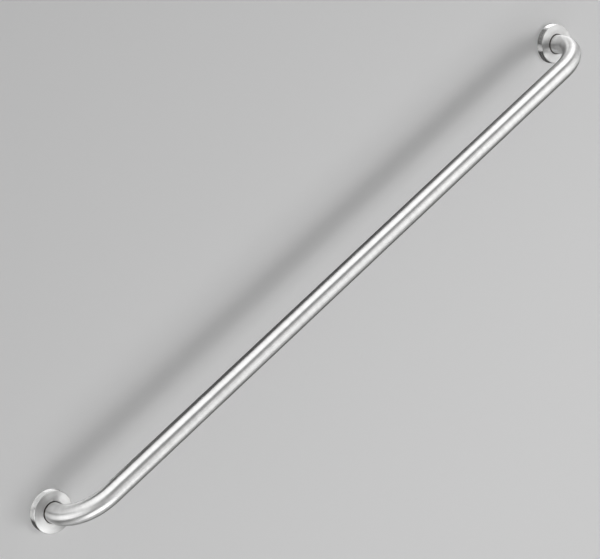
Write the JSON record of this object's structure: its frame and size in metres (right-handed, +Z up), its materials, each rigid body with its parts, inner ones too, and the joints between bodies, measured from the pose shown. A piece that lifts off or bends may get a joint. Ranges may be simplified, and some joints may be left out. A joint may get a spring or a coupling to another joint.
{
  "type": "grab bar",
  "caption": "Straight round grab bar of bent stainless tube, fixed to a wall by a screwed plate at each end that a sliding round cover hides.",
  "frame": {"origin": "on the wall plane, midway between the centres of the two fixing plates", "axes": "+X along the bar from the left plate to the right plate, +Y into the wall, so the bar stands out along -Y, +Z up with the bar level"},
  "size_m": [1.267, 0.137, 0.067],
  "materials": {
    "brushed_tube": "satin, fine brushing round the tube",
    "brushed_cover": "satin, fine circular brushing",
    "plate_steel": "mill finish",
    "weld_bead": "rippled bead",
    "screw_steel": "plain stainless"
  },
  "bodies": {
    "bar": {"bar_tube": "brushed_tube", "left_flange": "plate_steel", "right_flange": "plate_steel", "left_weld": "weld_bead", "right_weld": "weld_bead", "left_screws": "screw_steel", "right_screws": "screw_steel"},
    "left_cover": {"left_cover": "brushed_cover"},
    "right_cover": {"right_cover": "brushed_cover"}
  },
  "joints": [
    {"name": "left_cover_slide", "type": "slide", "parent": "bar", "child": "left_cover", "axis": [0, -1, 0], "range_m": [0, 0.016]},
    {"name": "right_cover_slide", "type": "slide", "parent": "bar", "child": "right_cover", "axis": [0, -1, 0], "range_m": [0, 0.016]}
  ]
}
